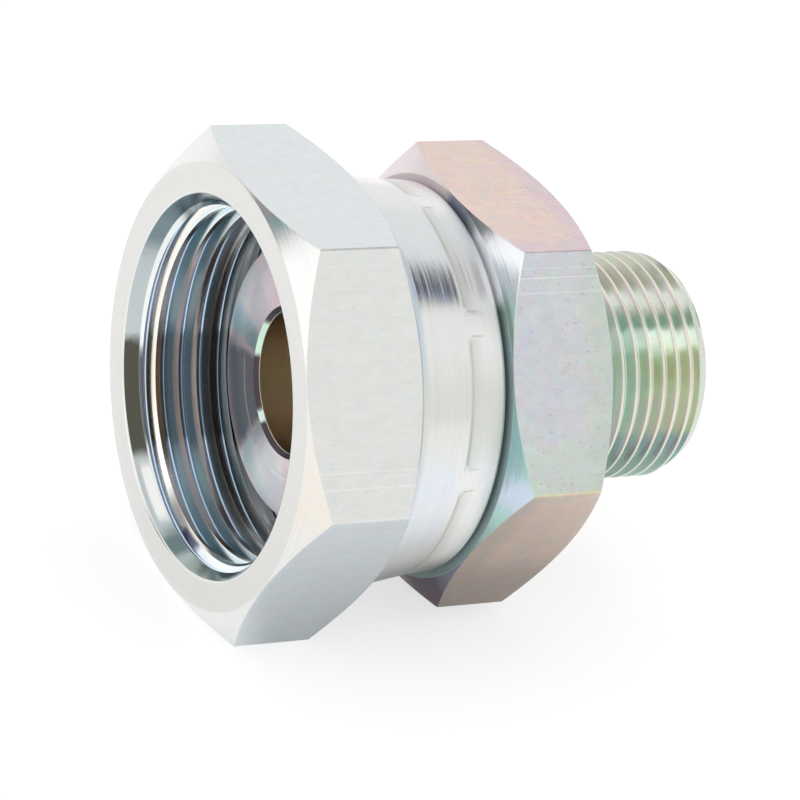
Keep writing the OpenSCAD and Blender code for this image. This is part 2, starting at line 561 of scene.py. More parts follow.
@dataclass(frozen=True)
class Wash:
    """A tint over one part of a surface: either the film's own colour or painted light, such as a painted
    highlight, reflection or shade. A part that isn't given leaves the wash unbounded that way.

    Args:
        tint: its 8-bit red, green and blue.
        strength: share of the tint where it is full.
        turn: middle, half width and soft edge of a sector round the axis, in degrees from +Y to +Z.
        every: the sector is repeated at this angle.
        along: first place, last place and soft edge along the axis, in millimetres.
        out: inner radius, outer radius and soft edge, in millimetres.
        facing: a direction, and the cosines at which the tint starts and is full.
        exact: whether its soft edges follow the shape too, instead of wandering as a film does.
        rough: roughness of the plate under it, where it isn't the finish's own.
    """
    tint: Tint
    strength: float = 1.0
    turn: Span | None = None
    every: float = 360.0
    along: Span | None = None
    out: Span | None = None
    facing: tuple[Direction, float, float] | None = None
    exact: bool = False
    rough: float | None = None


def sectors(*rows: tuple[Tint, float, Span | None], **shared: object) -> tuple[Wash, ...]:
    """Washes in sectors round the axis that share their other settings.

    Args:
        rows: tint, strength and sector of each wash, each over the ones before it.
        shared: the settings that all of them take.

    Returns:
        The washes, in their order.
    """
    return tuple(Wash(*row, **shared) for row in rows)


@dataclass(frozen=True)
class Marks:
    """What the tools left on a surface.

    Args:
        depth: depth of the marks in the relief, in millimetres.
        fineness: marks in a millimetre.
        stretch: share of that number along the marks.
        contrast: how far the marks lighten and darken the plate.
        lines: strength of the few long scratches, from 0 to 1.
        pits: strength of the small dark pits, from 0 to 1.
    """
    depth: float
    fineness: float
    stretch: float
    contrast: float
    lines: float = 0.0
    pits: float = 0.0


class Places:
    """Where a point of the surface lies, as shader sockets in millimetres and degrees."""

    def __init__(self, graph: Graph) -> None:
        """Add the nodes that read the object's own coordinates."""
        self.graph = graph
        coords = graph.add("TexCoord")
        self.spot = graph.scale(coords.outputs["Object"], 1 / MM)
        self.normal = coords.outputs["Normal"]
        self.firm = self.polar(self.spot)
        moved = graph.scale(graph.drift(self.spot, *FILM_DRIFT), WANDER)
        self.loose = self.polar(graph.vector("ADD", self.spot, moved))

    def polar(self, spot: object) -> tuple[object, object, object]:
        """Place along the axis, distance from it and angle round it."""
        graph = self.graph
        x, y, z = graph.split(spot)
        square = graph.math("ADD", graph.times(y, y), graph.times(z, z))
        return x, graph.math("SQRT", square), graph.math("DEGREES", graph.math("ARCTAN2", z, y))

    def stretched(self, share: float) -> object:
        """Coordinates that run slower along the axis, which draws a pattern on them out."""
        x, y, z = self.graph.split(self.spot)
        return self.graph.join(self.graph.times(x, share), y, z)

    def share(self, wash: Wash) -> object:
        """Share of a wash at a point."""
        graph = self.graph
        share: object = wash.strength

        def value(which: int, soft: float) -> object:
            """Place, radius or angle, which wanders where the edge is soft."""
            return (self.firm if wash.exact or soft < CRISP else self.loose)[which]

        if wash.turn:
            middle, half, soft = wash.turn
            off = graph.math("SUBTRACT", value(2, soft), middle)
            off = graph.math("WRAP", off, wash.every / 2, -wash.every / 2)
            inside = graph.ease(graph.math("ABSOLUTE", off), half + soft / 2, half - soft / 2)
            share = graph.times(share, inside)
        for which, band in enumerate((wash.along, wash.out)):
            if band:
                low, high, soft = band
                past_low = graph.ease(value(which, soft), low - soft / 2, low + soft / 2)
                before_high = graph.ease(value(which, soft), high + soft / 2, high - soft / 2)
                share = graph.times(share, graph.times(past_low, before_high))
        if wash.facing:
            direction, start, full = wash.facing
            towards = graph.dot(self.normal, Vector(direction).normalized())
            share = graph.times(share, graph.ease(towards, start, full))
        return share


@dataclass(frozen=True)
class Plating:
    """Zinc plate with a passivation film whose tint changes over the piece, and with painted highlights,
    reflections and shade laid into that tint.

    Args:
        name: name of the material.
        zone: how the surface under the plate was made.
        base: 8-bit red, green and blue of the plate where no wash lies.
        washes: tints of the film and painted highlights, reflections and shade, each over the ones before
            it.
        roughness: roughness of the plate.
        marks: what the tools left.
        clouds: how far the film's tint drifts in soft clouds.
    """
    name: str
    zone: Zone
    base: Tint
    washes: tuple[Wash, ...]
    roughness: float
    marks: Marks
    clouds: float = 0.05

    def build(self) -> bpy.types.Material:
        """The material, with its nodes."""
        material = bpy.data.materials.new(self.name)
        material.use_nodes = True
        graph = Graph(material.node_tree)
        places = Places(graph)
        height = self.height(graph, places)
        shader = graph.add("BsdfPrincipled")
        shader.inputs["Metallic"].default_value = 1.0
        graph.put(shader.inputs["Roughness"], self.gloss(graph, places))
        graph.put(shader.inputs["Base Color"], self.tint(graph, places, height))
        bump = graph.add("Bump")
        bump.inputs["Strength"].default_value = 1.0
        bump.inputs["Distance"].default_value = self.marks.depth * MM
        graph.put(bump.inputs["Height"], height)
        graph.put(shader.inputs["Normal"], bump.outputs[0])
        graph.fill(graph.add("OutputMaterial"), shader.outputs[0])
        return material

    def gloss(self, graph: Graph, places: Places) -> object:
        """Roughness of the plate, changed under the washes that name their own."""
        rough: object = self.roughness
        for wash in self.washes:
            if wash.rough is not None:
                share = places.share(wash)
                rest = graph.times(graph.rest(share), rough)
                rough = graph.math("MULTIPLY_ADD", share, wash.rough, rest)
        return rough

    def section(self, graph: Graph, places: Places) -> object:
        """Coordinates that stretch along the marks of the tool or of the drawing die."""
        if self.zone is Zone.DRAWN:
            return places.stretched(self.marks.stretch)
        x, radius, angle = places.firm
        return graph.join(x, radius, graph.times(angle, self.marks.stretch))

    def height(self, graph: Graph, places: Places) -> object:
        """Height of the tool's marks."""
        section = self.section(graph, places)
        return graph.noise(section, self.marks.fineness, MARK_DETAIL, MARK_ROUGHNESS).outputs["Fac"]

    def tint(self, graph: Graph, places: Places, height: object) -> object:
        """Colour of the film over the plate, with the painted highlights, reflections and shade of the
        washes, and the marks and pits in it.
        """
        marks = self.marks
        colour: object = linear(self.base)
        for wash in self.washes:
            colour = graph.blend(places.share(wash), colour, linear(wash.tint))
        cast = graph.scale(graph.drift(places.spot, *CLOUDS), 2 * self.clouds)
        cast = graph.vector("ADD", cast, (1, 1, 1))
        level = graph.math("MULTIPLY_ADD", graph.math("SUBTRACT", height, 0.5), 2 * marks.contrast, 1.0)
        if marks.lines:
            level = graph.times(level, self.scratches(graph, places))
        if marks.pits:
            level = graph.times(level, self.pits(graph, places))
        return graph.scale(graph.vector("MULTIPLY", colour, cast), level)

    def scratches(self, graph: Graph, places: Places) -> object:
        """Level of the few long light and dark scratches that the die left."""
        level = graph.noise(places.stretched(SCRATCH_STRETCH), *SCRATCHES).outputs["Fac"]
        light = graph.times(graph.ease(level, *LIGHT_SCRATCH), self.marks.lines)
        dark = graph.times(graph.ease(level, *DARK_SCRATCH), -self.marks.lines)
        return graph.math("ADD", graph.math("ADD", light, dark), 1.0)

    def pits(self, graph: Graph, places: Places) -> object:
        """Level of the small dark pits, drawn out a little along the axis."""
        level = graph.noise(places.stretched(PIT_STRETCH), *PITS).outputs["Fac"]
        return graph.math("MULTIPLY_ADD", graph.ease(level, *PIT_EDGE), -self.marks.pits, 1.0)


FLAT_UP = (0.0, 0.0, 1.0)
FLAT_FRONT = (0.0, -0.866, 0.5)
FLAT_LOW = (0.0, -0.866, -0.5)

# Cosines between a flat's direction and a surface's, at which a tint of that flat starts and is full.
FACING = (0.8, 0.9)


@dataclass
class SwivelNut:
    """The nut, with its thread, its hollow and the collar that the jaws closed.

    Its sizes are in millimetres, and a name that ends in _r is a radius from the axis. The depths and
    flat_length run in from the mouth, while jaw_length and lip_land run back from the rim.
    """
    thread_depth: float = 12.4
    face_r: float = 24.8
    flat_length: float = 13.8
    mouth_r: float = 21.5
    mouth_round: float = 0.45
    lead_in_slope: float = math.tan(math.radians(30))
    lead_in_band_r: float = 20.5
    collar_root_r: float = 23.5
    collar_rim_r: float = 21.97
    collar_fillet: float = 0.8
    rim_round: float = 0.45
    chamber_r: float = 21.2
    chamber_depth: float = 13.8
    lip_r: float = 18.3
    lip_land: float = 1.45
    edge_break: float = 0.25
    jaws: int = 8
    ridge_arc: float = 6.25
    jaw_length: float = 4.4
    jaw_step: float = 0.11
    jaw_hold: float = 0.3
    jaw_fade: float = 2.6
    rim_lift: float = 0.26
    jaw_corner: float = 1.4
    jaw_wall: float = 0.45
    pitch: float = 2.309
    ridge_depth: float = 2.17
    root_r: float = 20.955
    steps: int = 576
    thread_steps: int = 160

    def __post_init__(self) -> None:
        """Take the outer sizes and the thread's crest from the frame."""
        low, high = box_mm("swivel_nut")
        self.mouth, self.rim = low.x, high.x
        self.crest_r = mount_dims("nut_thread")["r_mm"]
        self.hexagon = Hexagon(2 * high.z, self.mouth, self.face_r, self.mouth + self.flat_length)
        fall = (self.hexagon.flats / 2 - self.collar_root_r) * self.hexagon.slope
        self.root = self.hexagon.flat_end + fall
        self.taper = (self.collar_root_r - self.collar_rim_r) / (self.rim - self.root)
        self.jaw_start = self.rim - self.jaw_length

    def cone_r(self, x: float) -> float:
        """Radius of the tapered collar at a place along the axis."""
        return self.collar_root_r - (x - self.root) * self.taper

    def ridge_share(self, x: float, angle: float) -> float:
        """How far the collar stands up between two jaw marks, from 0 in a mark to 1."""
        pitch = TURN / self.jaws
        off_middle = abs((angle + pitch) % pitch - pitch / 2)
        half_mark = pitch / 2 - math.radians(self.ridge_arc) / 2
        across = (half_mark - off_middle) * self.collar_rim_r
        along = x - self.jaw_start
        inside = min(across, along)
        if 0 < across < self.jaw_corner and 0 < along < self.jaw_corner:
            inside = self.jaw_corner - math.hypot(self.jaw_corner - across, self.jaw_corner - along)
        return 1 - smooth(0.5 + inside / self.jaw_wall)

    def collar_ring(self, x: float, inwards: float = 0.0, behind: float = 0.0) -> Ring:
        """Ring of the jaws' stretch of the collar.

        Args:
            x: place along the axis on the cone, before the rim's rounding.
            inwards: how far the rounding has pulled the ring towards the axis.
            behind: how far the rounding has moved it along the axis.

        Returns:
            The ring, whose radius dips in the jaws' marks.
        """
        def place(angle: float) -> tuple[float, float]:
            share = max(0.0, (x - self.jaw_start) / (self.rim - self.rim_round - self.jaw_start))
            start = self.cone_r(min(x, self.jaw_start))
            ridge = start + (self.collar_rim_r + self.rim_lift - start) * share
            depth = self.jaw_step * (1 - smooth((x - self.jaw_start - self.jaw_hold) / self.jaw_fade))
            return x + behind, ridge - depth * (1 - self.ridge_share(x, angle)) - inwards
        return Ring(place)

    def collar_rings(self) -> list[Ring]:
        """Rings of the collar from its hollow corner to its rim."""
        lean = math.atan(self.taper)
        tilt = math.atan(self.hexagon.slope)
        run = self.collar_fillet * math.tan((math.pi / 2 - tilt - lean) / 2)
        centre = (
            self.root + run * math.cos(lean) + self.collar_fillet * math.sin(lean),
            self.collar_root_r - run * math.sin(lean) + self.collar_fillet * math.cos(lean),
        )
        corner = arc(centre, self.collar_fillet, 180 + math.degrees(tilt), 270 - math.degrees(lean), 6)
        cone_start = corner[-1].place(0)[0]
        cone_length = self.jaw_start - 0.5 - cone_start
        cone = [cone_start + cone_length * share for share in CONE_SHARES]
        jaw_end, round_r = self.rim - self.rim_round, self.rim_round
        rim = [math.radians(15 * i) for i in range(7)]
        return [
            *corner,
            *(plain(x, self.cone_r(x)) for x in cone),
            *(self.collar_ring(self.jaw_start + s) for s in JAW_RINGS),
            *(self.collar_ring(jaw_end, round_r * (1 - math.cos(a)), round_r * math.sin(a)) for a in rim),
        ]

    def rings(self) -> list[Ring]:
        """Outline of the nut's section, with its bore left plain and small."""
        rounding = self.mouth_round
        lean = math.degrees(math.atan(self.lead_in_slope))
        inner_turn = rounding * math.tan(math.radians(90 - lean) / 2)
        mouth = arc((self.mouth + rounding, self.mouth_r + inner_turn), rounding, 270 - lean, 180, 4)
        slope = self.lead_in_slope
        cone_end = self.mouth + (self.mouth_r - self.crest_r) / slope
        lip_end = self.rim - self.lip_land
        return [
            *plains(
                Zone.INNER, (cone_end, self.crest_r), (cone_end - 0.4, self.crest_r + 0.4 * slope),
                (self.mouth + 0.35, self.mouth_r - 0.35 * slope),
            ),
            *mouth,
            *plains(
                Zone.TURNED, (self.mouth, self.mouth_r + 0.5),
                (self.mouth, (self.mouth_r + self.face_r) / 2), (self.mouth, self.face_r - HOLD),
            ),
            *self.hexagon.rings(self.collar_root_r + self.collar_fillet / 2),
            *self.collar_rings(),
            *plains(
                Zone.INNER, (self.rim, self.lip_r + self.edge_break),
                (self.rim - self.edge_break, self.lip_r), (lip_end, self.lip_r),
                (lip_end - self.chamber_r + self.lip_r, self.chamber_r),
                (self.mouth + self.chamber_depth, self.chamber_r),
                (self.mouth + self.thread_depth, self.crest_r),
            ),
        ]

    def build(self) -> bpy.types.Object:
        """The finished nut."""
        blank = turned_skin(self.rings(), self.steps)
        round_hexagon(blank, self.hexagon)
        form = PipeThread(self.root_r, self.pitch, self.mouth + self.ridge_depth + self.pitch / 2)
        tap = form.rod(self.mouth - PAST, self.mouth + self.chamber_depth + 0.5, self.thread_steps)
        materials = [finish.build() for finish in self.finishes()]
        nut = carve(blank, tap, materials)
        return dress("swivel_nut_piece", nut, "nut", "swivel_nut", materials)

    def finishes(self) -> list[Plating]:
        """Finishes of the nut, in the order of the zones."""
        return [self.turned(), self.drawn(), self.cut(), self.hollow()]

    def turned(self) -> Plating:
        """Finish of the face, the chamfers and the collar, with the tool's fine rings, and with painted
        reflections, light and shade on the collar and its jaw marks.
        """
        mouth, rim, jaw, root = self.mouth, self.rim, self.jaw_start, self.root
        step = math.degrees(TURN / self.jaws)
        half_ridge = self.ridge_arc / 2
        half_mark = step / 2 - half_ridge
        return Plating("zinc_turned", Zone.TURNED, (232, 233, 231), (
            Wash((223, 223, 220), 1.0, along=(mouth - 1, mouth + 0.05, 0.1), exact=True),
            *sectors(
                ((238, 231, 221), 0.8, (162, 25, 16)),
                ((209, 206, 196), 1.0, (94, 5, 10)),
                ((198, 227, 230), 0.9, (107, 3, 6)), along=(mouth + 0.1, mouth + 3, 0.1),
            ),
            Wash((222, 229, 238), 0.7, (186, 18, 22), along=(root, jaw - 1, 2.0)),
            # Bluish tints where the collar mirrors the dark card: painted reflection over the real one.
            *sectors(
                ((218, 222, 229), 0.8, (118, 7, 10)),
                ((196, 206, 230), 0.8, (125.4, 2.6, 5)), along=(root - 0.3, jaw - 0.6, 1.4),
            ),
            # Light streaks across that reflected dark band, with a rougher plate: painted reflection.
            *(
                Wash(tint, strength, turn, along=(root + first, root + last, soft), exact=True, rough=rough)
                for tint, strength, turn, first, last, soft, rough in (
                    ((226, 230, 240), 0.9, (120, 7, 6), 0.75, 0.87, 0.1, 0.6),
                    ((226, 230, 240), 0.8, (121, 7, 5), 2.5, 2.6, 0.12, 0.55),
                    ((206, 212, 236), 0.7, (122, 6, 5), 4.3, 4.45, 0.15, 0.5),
                )
            ),
            Wash((244, 244, 243), 0.9, along=(jaw - 0.3, rim - 0.2, 0.3), exact=True, rough=0.46),
            # Soft light blue over the collar's hollow fillet, with a rougher plate: painted light over the
            # dark line that the fillet mirrors.
            Wash((206, 219, 228), 0.8, along=(root - 1.2, root + 0.7, 0.8), exact=True, rough=0.5),
            # Narrow dark streaks across the jaws' stretch: painted reflection of the dark card.
            *(
                Wash(tint, strength, turn, along=(jaw + first, jaw + last, soft), exact=True)
                for tint, strength, turn, first, last, soft in (
                    ((176, 178, 190), 0.7, (118, 6, 10), 1.0, 1.25, 0.2),
                    ((192, 192, 201), 0.7, (120, 5, 10), 1.7, 1.85, 0.2),
                    ((196, 190, 196), 0.6, (121, 6, 6), 2.4, 3.4, 0.5),
                )
            ),
            Wash((222, 226, 228), 1.0, along=(rim - 0.3, rim + 1, 0.2), rough=0.65),
            Wash((233, 222, 224), 0.7, (74, 6, 22), along=(root + 1, rim + 2, 5.0)),
            *sectors(
                ((220, 224, 226), 0.8, (106, 10, 10)),
                ((221, 222, 217), 0.9, (160, 12, 16)), along=(root - 0.3, rim, 0.3),
            ),
            # Darker grey green under the collar, where it mirrors the shaded floor: painted shade.
            Wash((168, 178, 172), 0.8, (228, 12, 16), along=(root - 1, rim, 0.5)),
            # Grey at the start of each jaw mark and thin dark lines along its sides: painted shade of the
            # marks' steps.
            Wash((218, 219, 214), 0.6, (step / 2, half_mark - 1, 2), every=step,
                 along=(jaw, jaw + 1.3, 1.4), exact=True),
            Wash((200, 200, 194), 0.6, (step / 2, half_mark - 1.5, 2), every=step,
                 along=(jaw - 0.1, jaw + 0.35, 0.4), exact=True),
            *sectors(
                ((185, 184, 177), 0.6, (half_ridge + 0.4, 0.3, 0.6)),
                ((195, 194, 188), 0.5, (-half_ridge - 0.4, 0.3, 0.6)),
                every=step, along=(jaw + 0.3, jaw + 1.7, 1.0), exact=True,
            ),
        ), 0.17, Marks(0.03, 2.2, 0.006, 0.05), 0.03)

    def drawn(self) -> Plating:
        """Finish of the flats, which are the bar's own skin, with the lower flat darker as painted shade
        and a painted dark reflection along one corner.
        """
        return Plating("zinc_drawn", Zone.DRAWN, (230, 231, 228), (
            Wash((227, 232, 234), 0.9, facing=(FLAT_UP, *FACING)),
            # The lower flat is darker: painted shade.
            Wash((214, 221, 225), 0.9, facing=(FLAT_LOW, *FACING)),
            *sectors(
                ((243, 242, 238), 0.8, (170.2, 0.1, 0.16)),
                ((243, 242, 238), 0.7, (173.6, 0.14, 0.2)),
                ((240, 241, 240), 0.5, (123.4, 0.1, 0.2)),
                # The dark line at the corner is a painted reflection of the dark card.
                ((168, 168, 162), 0.6, (120.25, 0.12, 0.2)), exact=True,
            ),
        ), 0.3, Marks(0.02, 1.6, 0.3, 0.08, 0.06, 0.1), 0.06)

    def cut(self) -> Plating:
        """Finish of the thread, with painted highlights on its crests and roots, painted dark reflections
        in some sectors and near the mouth, and a lighter tint deep inside that lifts its shade.
        """
        mouth, crest_r, root_r = self.mouth, self.crest_r, self.root_r
        deep = (mouth + 8.6, mouth + 16, 0.8)
        middle = (mouth + 3.6, mouth + 8.4, 0.6)
        # Sector in which the thread mirrors something dark; the tints laid in it are painted reflection.
        dark_reflection_side = (-31, 18, 5)
        return Plating("zinc_thread", Zone.CUT, (214, 234, 238), (
            Wash((204, 220, 224), 1.0, along=(mouth + 6.4, mouth + 8.4, 0.6)),
            # Lighter deep inside, which lifts the shade there: painted light.
            Wash((252, 254, 255), 1.0, along=deep),
            # Brighter sectors: painted highlights.
            *sectors(((232, 251, 253), 0.9, (-1, 8, 10)), ((228, 251, 251), 0.9, (-61, 9, 12))),
            # Cream and pale blue on the first turns by the mouth, tints in the dark sector and a dark blue
            # line low in the mouth: painted reflection.
            Wash((250, 246, 238), 1.0, along=(mouth - 1, mouth + 3.7, 0.5)),
            Wash((242, 251, 255), 1.0, along=(mouth + 1.6, mouth + 2.8, 0.2), exact=True),
            Wash((242, 236, 222), 1.0, dark_reflection_side, along=(mouth + 2.3, mouth + 3.6, 0.3)),
            Wash((104, 106, 132), 1.0, (-88, 6, 5), along=(mouth + 1.2, mouth + 2.9, 0.3)),
            Wash((184, 206, 211), 1.0, dark_reflection_side, along=middle),
            Wash((226, 238, 243), 1.0, dark_reflection_side, along=deep),
            # Pale crest edges and bluish roots are painted highlights; in the dark sector the roots are
            # painted darker.
            Wash((244, 246, 246), 0.7, out=(crest_r - 1, crest_r + 0.16, 0.12), exact=True),
            Wash((206, 224, 244), 0.8, out=(root_r - 0.3, root_r + 1, 0.12), exact=True),
            Wash((128, 142, 150), 0.95, (-30.5, 17, 4), along=(mouth + 3.7, mouth + 16, 0.2),
                 out=(root_r - 0.14, root_r + 1, 0.1), exact=True),
            # The first turns are darker in the dark sector: painted dark reflection.
            Wash((92, 96, 104), 0.9, dark_reflection_side, along=(mouth - 1, mouth + 2.3, 0.3), exact=True),
        ), 0.16, Marks(0.01, 2.0, 0.004, 0.06), 0.08)

    def hollow(self) -> Plating:
        """Finish of the lead-in and the chamber, with painted highlights and painted dark reflections in
        bands on the lead-in.
        """
        # Radius at which the lead-in's painted bands meet.
        band_r = self.lead_in_band_r
        return Plating("zinc_hollow", Zone.INNER, (238, 236, 230), (
            # Brighter sectors are painted highlights; the brownish one lies in the dark reflection sector.
            *sectors(
                ((244, 244, 241), 0.8, (-3, 8, 12)),
                ((246, 246, 242), 0.9, (-64, 8, 14)),
                ((220, 214, 204), 1.0, (-31, 18, 5)),
            ),
            # Inner band of the lead-in: white, with dark sectors of painted reflection.
            *sectors(
                ((240, 245, 246), 1.0, None),
                ((72, 77, 86), 0.9, (-33, 15, 6)),
                ((110, 112, 132), 0.9, (-87, 8, 6)), out=(self.crest_r + 0.1, band_r, 0.06),
            ),
            # Outer band of the lead-in: teal and dark sectors, a painted reflection of the shaded floor.
            *sectors(
                ((190, 199, 200), 1.0, None),
                ((122, 140, 146), 1.0, (30, 12, 14)),
                ((96, 118, 126), 1.0, (52, 16, 12)),
                ((144, 162, 156), 0.8, (-114, 16, 12)),
                ((96, 120, 122), 0.9, (-88, 6, 8)),
                ((88, 88, 78), 1.0, (-33, 18, 5)), out=(band_r, self.face_r, 0.06),
            ),
            # A white patch: painted highlight.
            Wash((246, 247, 243), 1.0, (-66, 11, 6), out=(band_r, 21.1, 0.2)),
        ), 0.16, Marks(0.012, 2.0, 0.004, 0.05), 0.06)


@dataclass
class StudBody:
    """The body, with its nose, flange, hexagon, stud and bore.

    Its sizes are in millimetres, and a name that ends in _r is a radius from the axis.
    """
    face_r: float = 22.9
    flat_length: float = 12.6
    shoulder_r: float = 17.0
    neck_r: float = 18.0
    flange_r: float = 20.9
    flange_at: float = 14.9
    nose_r: float = 15.6
    nose_fillet: float = 1.0
    groove_r: float = 10.85
    lip_land: float = 1.45
    clearance: float = 0.3
    relief_r: float = 11.95
    relief_length: float = 2.3
    tip_r: float = 11.95
    tip_angle: float = 30.0
    bore_chamfer: float = 0.5
    edge_break: float = 0.25
    blank_r: float = 13.4
    pitch: float = 1.814
    crest_at: float = 3.788
    steps: int = 288
    thread_steps: int = 144

    def __post_init__(self) -> None:
        """Take the outer sizes, the stud and the bore from the frame."""
        low, high = box_mm("stud_body")
        self.nose, self.end = low.x, high.x
        self.stud_r = mount_dims("stud_thread")["r_mm"]
        self.bore_r = mount_dims("flow_bore")["r_mm"]
        flats = 2 * high.z
        flat_end = -(flats / 2 - self.shoulder_r) * Hexagon.slope
        self.hexagon = Hexagon(flats, flat_end - self.flat_length, self.face_r, flat_end)
        nut_low, nut_high = box_mm("swivel_nut")
        self.flange = nut_low.x + self.flange_at
        wall = self.flange_r - self.neck_r - self.clearance
        self.flange_back = nut_high.x - self.lip_land - wall - self.clearance * math.sqrt(2)

    def rings(self) -> list[Ring]:
        """Outline of the body's section, with the stud left plain."""
        fillet, eb, groove = self.nose_fillet, self.edge_break, self.groove_r
        tip_slope = 1 / math.tan(math.radians(self.tip_angle))
        bore_edge = self.bore_r + self.bore_chamfer
        return [
            *plains(
                Zone.INNER, (self.nose, bore_edge), (self.nose, groove - HOLD), (self.nose, groove - 0.1),
                (self.nose + NUDGE, groove), (self.nose, groove + 0.1), (self.nose, groove + HOLD),
                (self.nose, self.nose_r - eb - HOLD),
            ),
            *plains(Zone.TURNED, (self.nose, self.nose_r - eb), (self.nose + eb, self.nose_r)),
            *arc((self.flange - fillet, self.nose_r + fillet), fillet, 270, 360, 5),
            *plains(
                Zone.TURNED, (self.flange, self.flange_r - 2 * eb), (self.flange + 2 * eb, self.flange_r),
                (self.flange_back, self.flange_r),
                (self.flange_back + self.flange_r - self.neck_r, self.neck_r),
                (self.hexagon.front, self.neck_r), (self.hexagon.front, self.face_r - HOLD),
            ),
            *self.hexagon.rings(self.shoulder_r + 0.15),
            *plains(
                Zone.TURNED, (-NUDGE, self.shoulder_r), (0, self.shoulder_r - 0.1),
                (0, self.relief_r + 0.5), (0, self.relief_r), (self.relief_length, self.relief_r),
                (self.relief_length + self.blank_r - self.relief_r, self.blank_r),
                (self.end - (self.blank_r - self.tip_r) * tip_slope, self.blank_r),
                (self.end - 0.08, self.tip_r + 0.04), (self.end, self.tip_r - 0.05), (self.end, bore_edge),
            ),
            *plains(
                Zone.INNER, (self.end - self.bore_chamfer, self.bore_r),
                (self.nose + self.bore_chamfer, self.bore_r),
            ),
        ]

    def build(self) -> bpy.types.Object:
        """The finished body."""
        blank = turned_skin(self.rings(), self.steps)
        round_hexagon(blank, self.hexagon)
        form = PipeThread(self.stud_r, self.pitch, self.crest_at)
        die = form.sleeve(self.relief_length / 3, self.end + PAST, self.blank_r + PAST, self.thread_steps)
        materials = [finish.build() for finish in self.finishes()]
        body = carve(blank, die, materials)
        return dress("stud_body_piece", body, "connector_body", "stud_body", materials)

    def finishes(self) -> list[Plating]:
        """Finishes of the body, in the order of the zones."""
        return [self.turned(), self.drawn(), self.cut(), self.hollow()]

    def turned(self) -> Plating:
        """Finish of the nose, the chamfers and the stud's ends, with the tool's fine rings, and with
        painted reflections, light and shade on the front chamfer and the front face.
        """
        front, end = self.hexagon.front, self.hexagon.flat_end
        chamfer = (front - 0.5, front + 3, 0.2)
        face = (front - 1, front + 0.04, 0.04)
        return Plating("passivated_turned", Zone.TURNED, (222, 212, 214), (
            Wash((222, 212, 214), 1.0, along=face, rough=0.7),
            # Dark bluish patches near the top of the front chamfer: painted reflection of a dark card.
            *sectors(
                ((148, 153, 168), 1.0, (95, 7, 6)),
                ((166, 175, 178), 0.9, (105, 4, 4)),
                ((229, 231, 235), 1.0, (120, 10, 5)),
                ((202, 226, 214), 1.0, (141, 12, 8)), along=chamfer,
            ),
            # Darker teal grey on the face next to the chamfer: painted shade by the nut's rim.
            Wash((150, 168, 156), 0.9, (141, 14, 8), along=(front - 1, front + 0.35, 0.3)),
            # Tints of the chamfer round its lower side, darker towards the bottom, which is painted shade.
            *sectors(
                ((174, 208, 204), 1.0, (177, 27, 12)),
                ((206, 216, 234), 0.9, (182, 4, 8)),
                ((150, 155, 172), 1.0, (218, 14, 12)),
                ((118, 106, 118), 1.0, (240, 12, 12)), along=chamfer,
            ),
            # Where the front face shows beside the nut's rim: a teal grey band of painted shade and a white
            # patch of painted light.
            *sectors(
                ((178, 196, 196), 1.0, (196, 62, 10)),
                ((252, 253, 255), 1.0, (117, 12, 8)), along=face,
            ),
            Wash((206, 212, 200), 1.0, along=(10, 20, 1.0)),
            *sectors(
                ((229, 210, 215), 0.8, (84, 24, 26)),
                ((211, 221, 208), 0.9, (146, 28, 32)),
                ((213, 195, 189), 0.9, (212, 22, 40)), along=(end - 3.2, 0, 0.2),
            ),
        ), 0.17, Marks(0.02, 1.6, 0.006, 0.05), 0.06)

    def drawn(self) -> Plating:
        """Finish of the flats, which are the bar's own skin, with the lower flat's tan darkened towards the
        front and the bottom as painted shade.
        """
        front, end = self.hexagon.front, self.hexagon.flat_end
        up, side, low = ((flat, *FACING) for flat in (FLAT_UP, FLAT_FRONT, FLAT_LOW))
        return Plating("passivated_drawn", Zone.DRAWN, (212, 214, 214), (
            Wash((231, 210, 201), 1.0, facing=up),
            Wash((222, 203, 208), 0.9, facing=up, along=(end - 2.6, 2, 2.5)),
            Wash((222, 204, 210), 0.8, (118, 3, 5), facing=up),
            Wash((210, 212, 217), 0.9, facing=side, along=(front - 1, front + 8, 5)),
            Wash((204, 216, 206), 0.8, (176, 7, 8), facing=side),
            Wash((202, 212, 204), 0.8, facing=side, along=(end - 3, 2, 3)),
            # Lower flat: a tan film, darker towards the front and the bottom corner, which is painted
            # shade.
            Wash((208, 190, 178), 1.0, facing=low),
            Wash((188, 178, 170), 0.8, facing=low, along=(front - 1, front + 3, 3)),
            Wash((180, 168, 160), 0.8, (232, 12, 16), facing=low),
            *sectors(
                ((232, 236, 232), 0.7, (129.1, 0.1, 0.2)),
                ((236, 240, 236), 0.7, (125.6, 0.12, 0.2)),
                ((232, 236, 232), 0.6, (123.5, 0.1, 0.2)),
                ((216, 214, 172), 0.6, (180, 0.4, 0.8)), exact=True,
            ),
        ), 0.3, Marks(0.02, 1.9, 0.4, 0.1, 0.07, 0.26), 0.14)

